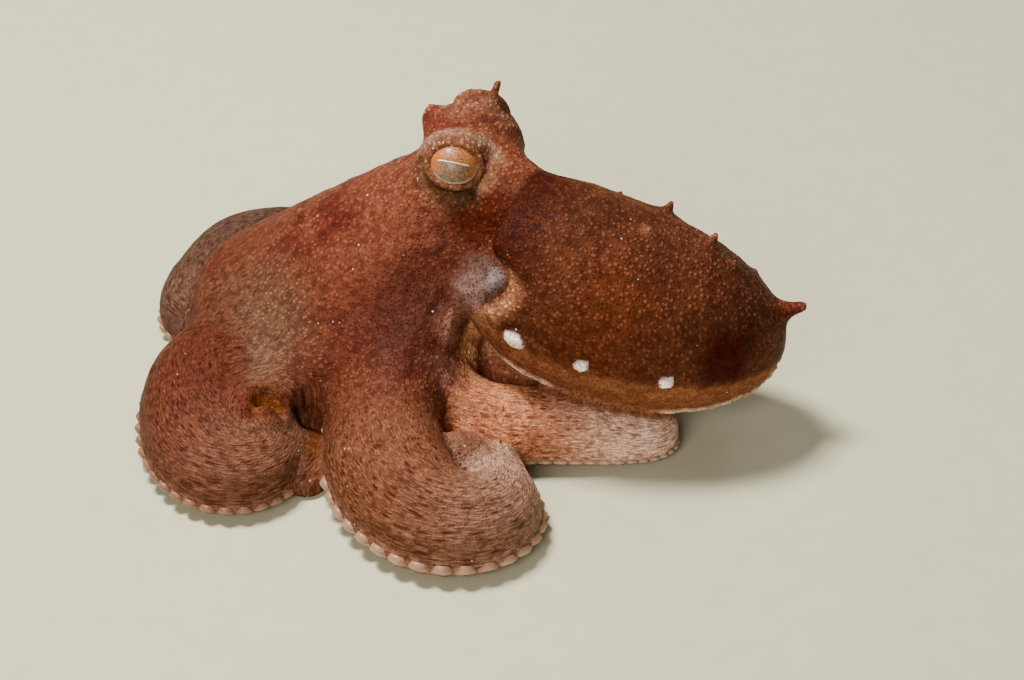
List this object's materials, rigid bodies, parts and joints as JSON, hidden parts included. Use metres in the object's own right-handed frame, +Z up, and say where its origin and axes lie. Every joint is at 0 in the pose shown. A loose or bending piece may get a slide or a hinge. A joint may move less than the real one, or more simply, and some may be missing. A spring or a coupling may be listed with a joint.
{
  "type": "octopus",
  "caption": "Small keeled octopus resting on the floor, mantle sac held out behind the raised head and arms curled round it, a still life-size model.",
  "frame": {"origin": "on the floor, under the mouth in the middle of the web's flat underside", "axes": "+X towards the tip of the mantle, +Y to the animal's right side, +Z up"},
  "size_m": [0.0671, 0.0675, 0.0318],
  "materials": {
    "mantle": "moist dark brown skin",
    "head": "moist mottled tan and brown skin",
    "web": "moist red brown skin",
    "funnel": "moist pale skin",
    "eye": "glossy golden eye",
    "arm": "moist mottled brown skin with pale suckers"
  },
  "bodies": {
    "root": {"mantle": "mantle", "head": "head", "web": "web", "funnel": "funnel", "eye_left": "eye", "eye_right": "eye", "arm_left_1_base": "arm", "arm_left_1_middle": "arm", "arm_left_1_tip": "arm", "arm_left_2_base": "arm", "arm_left_2_middle": "arm", "arm_left_2_tip": "arm", "arm_left_3_base": "arm", "arm_left_3_middle": "arm", "arm_left_3_tip": "arm", "arm_left_4_base": "arm", "arm_left_4_middle": "arm", "arm_left_4_tip": "arm", "arm_right_1_base": "arm", "arm_right_1_middle": "arm", "arm_right_1_tip": "arm", "arm_right_2_base": "arm", "arm_right_2_middle": "arm", "arm_right_2_tip": "arm", "arm_right_3_base": "arm", "arm_right_3_middle": "arm", "arm_right_3_tip": "arm", "arm_right_4_base": "arm", "arm_right_4_middle": "arm", "arm_right_4_tip": "arm"}
  },
  "joints": []
}
